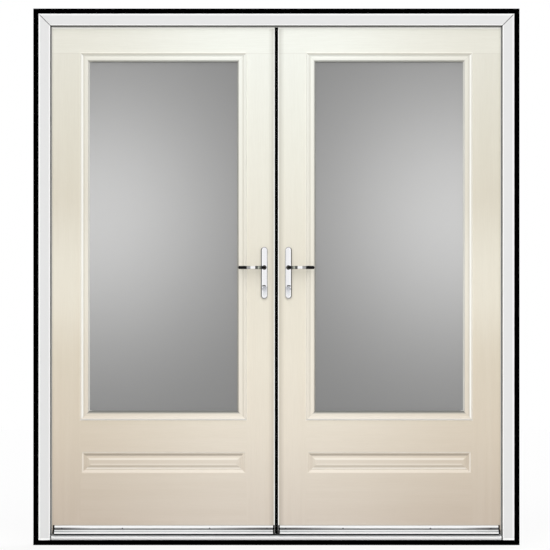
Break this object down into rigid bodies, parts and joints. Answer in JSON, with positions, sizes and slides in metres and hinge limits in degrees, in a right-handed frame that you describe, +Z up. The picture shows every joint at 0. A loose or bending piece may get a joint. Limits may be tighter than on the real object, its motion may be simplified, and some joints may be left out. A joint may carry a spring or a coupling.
{
  "type": "composite french door set",
  "caption": "Pair of cream glazed composite doors in a white mitred frame, opening inwards, with lever handles, weatherbars and a low threshold",
  "frame": {"origin": "middle of the underside of the packer, half way through the depth of the frame", "axes": "+X to the right seen from outside, +Y into the building, +Z up"},
  "size_m": [1.93, 0.143, 2.13],
  "materials": {
    "grp_skin": "fine moulded woodgrain, cream",
    "foam": "rigid foam",
    "timber": "engineered timber, edges coated off-white",
    "cassette": "smooth cream moulding",
    "satin_glass": "satin obscure glass",
    "spacer": "black warm-edge spacer",
    "chrome": "polished",
    "nickel": "satin nickel",
    "end_cap": "black moulding",
    "aluminium": "satin anodised",
    "packer": "black rigid plastic",
    "rubber": "black, soft",
    "hinge_steel": "white powder coat",
    "upvc": "smooth white plastic",
    "lock_steel": "zinc plated"
  },
  "bodies": {
    "frame": {"frame_jamb_left": "upvc", "frame_jamb_right": "upvc", "frame_head": "upvc", "frame_seals": "rubber", "perimeter_seal": "rubber", "threshold": "aluminium", "threshold_packer": "packer", "shootbolt_keeps": "lock_steel", "hinge_frame_leaves": "hinge_steel", "hinge_pins": "hinge_steel"},
    "master_leaf": {"master_core": "foam", "master_cylinder": "nickel", "master_faceplate": "lock_steel", "master_glass_spacer": "spacer", "master_hinge_leaves": "hinge_steel", "master_inner_backplate": "chrome", "master_inner_cassette": "cassette", "master_inner_pane": "satin_glass", "master_inner_skin": "grp_skin", "master_lock_case": "lock_steel", "master_outer_backplate": "chrome", "master_outer_cassette": "cassette", "master_outer_pane": "satin_glass", "master_outer_skin": "grp_skin", "master_subframe": "timber", "master_weatherbar": "aluminium", "master_weatherbar_caps": "end_cap"},
    "slave_leaf": {"slave_core": "foam", "slave_cylinder": "nickel", "slave_faceplate": "lock_steel", "slave_glass_spacer": "spacer", "slave_hinge_leaves": "hinge_steel", "slave_inner_backplate": "chrome", "slave_inner_cassette": "cassette", "slave_inner_pane": "satin_glass", "slave_inner_skin": "grp_skin", "slave_lock_case": "lock_steel", "slave_meeting_seal": "rubber", "slave_outer_backplate": "chrome", "slave_outer_cassette": "cassette", "slave_outer_pane": "satin_glass", "slave_outer_skin": "grp_skin", "slave_subframe": "timber", "slave_weatherbar": "aluminium", "slave_weatherbar_caps": "end_cap"},
    "master_lever": {"master_outer_lever": "chrome", "master_inner_lever": "chrome", "master_spindle": "lock_steel", "master_latch_cam": "lock_steel"},
    "master_latch": {"master_latch": "lock_steel"},
    "master_deadbolt": {"master_deadbolt": "lock_steel"},
    "master_drive_rail": {"master_drive_rail": "lock_steel"},
    "master_lower_hook": {"master_lower_hook": "lock_steel"},
    "master_upper_hook": {"master_upper_hook": "lock_steel"},
    "master_thumbturn": {"master_thumbturn": "chrome"},
    "slave_lever": {"slave_outer_lever": "chrome", "slave_inner_lever": "chrome", "slave_spindle": "lock_steel"},
    "slave_top_shootbolt": {"slave_top_shootbolt": "lock_steel"},
    "slave_bottom_shootbolt": {"slave_bottom_shootbolt": "lock_steel"}
  },
  "joints": [
    {"name": "master_swing", "type": "hinge", "parent": "frame", "child": "master_leaf", "pos_m": [-0.911, 0.044, 1.06], "axis": [0, 0, 1], "range_deg": [0, 100]},
    {"name": "slave_swing", "type": "hinge", "parent": "frame", "child": "slave_leaf", "pos_m": [0.911, 0.044, 1.06], "axis": [0, 0, -1], "range_deg": [0, 100]},
    {"name": "master_lever_turn", "type": "hinge", "parent": "master_leaf", "child": "master_lever", "pos_m": [-0.048, 0.007, 1.102], "axis": [0, 1, 0], "range_deg": [-40, 45], "stiffness_Nm_per_rad": 3, "springref_deg": 2.86},
    {"name": "master_drive_rail_slide", "type": "slide", "parent": "master_leaf", "child": "master_drive_rail", "axis": [0, 0, 1], "range_m": [0, 0.02]},
    {"name": "master_lower_hook_turn", "type": "hinge", "parent": "master_leaf", "child": "master_lower_hook", "pos_m": [-0.02, 0.007, 0.502], "axis": [0, 1, 0], "range_deg": [0, 120]},
    {"name": "master_upper_hook_turn", "type": "hinge", "parent": "master_leaf", "child": "master_upper_hook", "pos_m": [-0.02, 0.007, 1.702], "axis": [0, 1, 0], "range_deg": [0, 120]},
    {"name": "master_latch_slide", "type": "slide", "parent": "master_leaf", "child": "master_latch", "axis": [1, 0, 0], "range_m": [0, 0.02]},
    {"name": "master_thumbturn_turn", "type": "hinge", "parent": "master_leaf", "child": "master_thumbturn", "pos_m": [-0.048, 0.007, 1.017], "axis": [0, 1, 0], "range_deg": [0, 360]},
    {"name": "master_deadbolt_slide", "type": "slide", "parent": "master_leaf", "child": "master_deadbolt", "axis": [1, 0, 0], "range_m": [0, 0.025]},
    {"name": "slave_lever_lift", "type": "hinge", "parent": "slave_leaf", "child": "slave_lever", "pos_m": [0.048, 0.007, 1.102], "axis": [0, -1, 0], "range_deg": [0, 45]},
    {"name": "slave_top_shootbolt_slide", "type": "slide", "parent": "slave_leaf", "child": "slave_top_shootbolt", "axis": [0, 0, 1], "range_m": [0, 0.018]},
    {"name": "slave_bottom_shootbolt_slide", "type": "slide", "parent": "slave_leaf", "child": "slave_bottom_shootbolt", "axis": [0, 0, -1], "range_m": [0, 0.018]}
  ],
  "couplings": [
    {"joint": "master_lower_hook_turn", "follows": "master_drive_rail_slide", "rad_per_m": 104.72},
    {"joint": "master_upper_hook_turn", "follows": "master_drive_rail_slide", "rad_per_m": 104.72},
    {"joint": "master_thumbturn_turn", "follows": "master_deadbolt_slide", "rad_per_m": 251.33},
    {"joint": "slave_lever_lift", "follows": "slave_top_shootbolt_slide", "rad_per_m": 43.633},
    {"joint": "slave_bottom_shootbolt_slide", "follows": "slave_top_shootbolt_slide", "ratio": 1}
  ]
}
